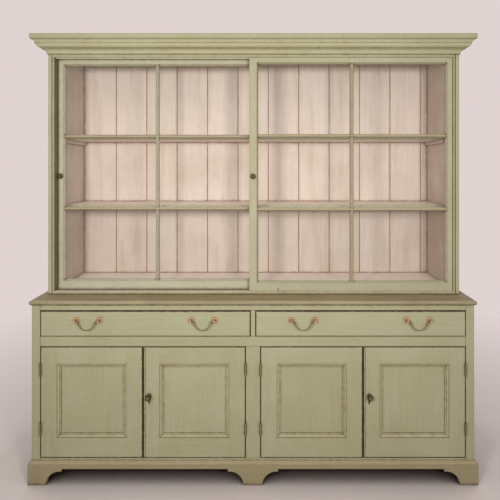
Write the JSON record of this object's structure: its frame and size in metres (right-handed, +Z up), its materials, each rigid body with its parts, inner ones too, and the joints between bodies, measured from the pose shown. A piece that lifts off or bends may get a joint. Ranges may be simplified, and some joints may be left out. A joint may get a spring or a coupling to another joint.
{
  "type": "dresser",
  "caption": "Painted kitchen dresser: glazed top with sliding barred doors under a deep cornice, on a base of drawers and panelled doors with a bracket plinth.",
  "frame": {"origin": "on the floor, under the middle of the bounding box", "axes": "+Z up, +X to the right seen from the front, +Y to the back; the doors and drawers face -Y"},
  "size_m": [2.182, 0.478, 2.163],
  "materials": {
    "painted_wood": "worn sage green paint",
    "inner_wood": "bare pine, aged",
    "worn_worktop": "worn brown paint",
    "cream_boards": "cream painted boards",
    "dark_brass": "aged dark brass",
    "rose_brass": "worn bright brass",
    "hinge_brass": "aged brass",
    "pane_glass": "clear window glass"
  },
  "bodies": {
    "carcass": {"plinth": "painted_wood", "base_sides": "painted_wood", "base_bottom": "inner_wood", "base_back_boards": "inner_wood", "base_divider": "inner_wood", "face_stiles": "painted_wood", "face_rails": "painted_wood", "drawer_runners": "inner_wood", "cupboard_shelves": "inner_wood", "shelf_cleats": "inner_wood", "worktop": "worn_worktop", "frame_hinges": "hinge_brass", "case_sides": "painted_wood", "case_linings": "painted_wood", "case_floor": "painted_wood", "case_head": "painted_wood", "case_top": "inner_wood", "case_back_boards": "cream_boards", "case_shelves": "painted_wood", "cornice_backing": "painted_wood", "cornice": "painted_wood", "slide_tracks": "inner_wood"},
    "leaf_1": {"leaf_1_frame": "painted_wood", "leaf_1_panel": "painted_wood", "leaf_1_hinges": "hinge_brass"},
    "leaf_2_bolt": {"leaf_2_bolt": "hinge_brass"},
    "leaf_2": {"leaf_2_frame": "painted_wood", "leaf_2_panel": "painted_wood", "leaf_2_hinges": "hinge_brass", "leaf_2_knob": "dark_brass", "leaf_2_lock": "dark_brass"},
    "leaf_3": {"leaf_3_frame": "painted_wood", "leaf_3_panel": "painted_wood", "leaf_3_hinges": "hinge_brass"},
    "leaf_4_bolt": {"leaf_4_bolt": "hinge_brass"},
    "leaf_4": {"leaf_4_frame": "painted_wood", "leaf_4_panel": "painted_wood", "leaf_4_hinges": "hinge_brass", "leaf_4_knob": "dark_brass", "leaf_4_lock": "dark_brass"},
    "drawer_1": {"drawer_1_front": "painted_wood", "drawer_1_box": "inner_wood", "drawer_1_posts": "rose_brass"},
    "drawer_2": {"drawer_2_front": "painted_wood", "drawer_2_box": "inner_wood", "drawer_2_posts": "rose_brass"},
    "bail_1": {"bail_1": "dark_brass"},
    "bail_2": {"bail_2": "dark_brass"},
    "bail_3": {"bail_3": "dark_brass"},
    "bail_4": {"bail_4": "dark_brass"},
    "slide_1": {"slide_1_frame": "painted_wood", "slide_1_glass": "pane_glass", "slide_1_knob": "dark_brass"},
    "slide_2": {"slide_2_frame": "painted_wood", "slide_2_glass": "pane_glass", "slide_2_knob": "dark_brass"}
  },
  "joints": [
    {"name": "leaf_1_hinge", "type": "hinge", "parent": "carcass", "child": "leaf_1", "pos_m": [-1.0168, -0.2133, 0.38], "axis": [0, 0, -1], "range_deg": [0, 110]},
    {"name": "leaf_2_hinge", "type": "hinge", "parent": "carcass", "child": "leaf_2", "pos_m": [-0.0357, -0.2133, 0.38], "axis": [0, 0, 1], "range_deg": [0, 90]},
    {"name": "leaf_3_hinge", "type": "hinge", "parent": "carcass", "child": "leaf_3", "pos_m": [0.0357, -0.2133, 0.38], "axis": [0, 0, -1], "range_deg": [0, 90]},
    {"name": "leaf_4_hinge", "type": "hinge", "parent": "carcass", "child": "leaf_4", "pos_m": [1.0168, -0.2133, 0.38], "axis": [0, 0, 1], "range_deg": [0, 110]},
    {"name": "leaf_2_bolt_slide", "type": "slide", "parent": "leaf_2", "child": "leaf_2_bolt", "axis": [-1, 0, 0], "range_m": [0, 0.013]},
    {"name": "leaf_4_bolt_slide", "type": "slide", "parent": "leaf_4", "child": "leaf_4_bolt", "axis": [-1, 0, 0], "range_m": [0, 0.013]},
    {"name": "drawer_1_slide", "type": "slide", "parent": "carcass", "child": "drawer_1", "axis": [0, -1, 0], "range_m": [0, 0.32]},
    {"name": "drawer_2_slide", "type": "slide", "parent": "carcass", "child": "drawer_2", "axis": [0, -1, 0], "range_m": [0, 0.32]},
    {"name": "bail_1_hinge", "type": "hinge", "parent": "drawer_1", "child": "bail_1", "pos_m": [-0.7895, -0.227, 0.7805], "axis": [-1, 0, 0], "range_deg": [0, 95]},
    {"name": "bail_2_hinge", "type": "hinge", "parent": "drawer_1", "child": "bail_2", "pos_m": [-0.2395, -0.227, 0.7805], "axis": [-1, 0, 0], "range_deg": [0, 95]},
    {"name": "bail_3_hinge", "type": "hinge", "parent": "drawer_2", "child": "bail_3", "pos_m": [0.2395, -0.227, 0.7805], "axis": [-1, 0, 0], "range_deg": [0, 95]},
    {"name": "bail_4_hinge", "type": "hinge", "parent": "drawer_2", "child": "bail_4", "pos_m": [0.7895, -0.227, 0.7805], "axis": [-1, 0, 0], "range_deg": [0, 95]},
    {"name": "slide_1_run", "type": "slide", "parent": "carcass", "child": "slide_1", "axis": [1, 0, 0], "range_m": [0, 0.94]},
    {"name": "slide_2_run", "type": "slide", "parent": "carcass", "child": "slide_2", "axis": [-1, 0, 0], "range_m": [0, 0.94]}
  ]
}
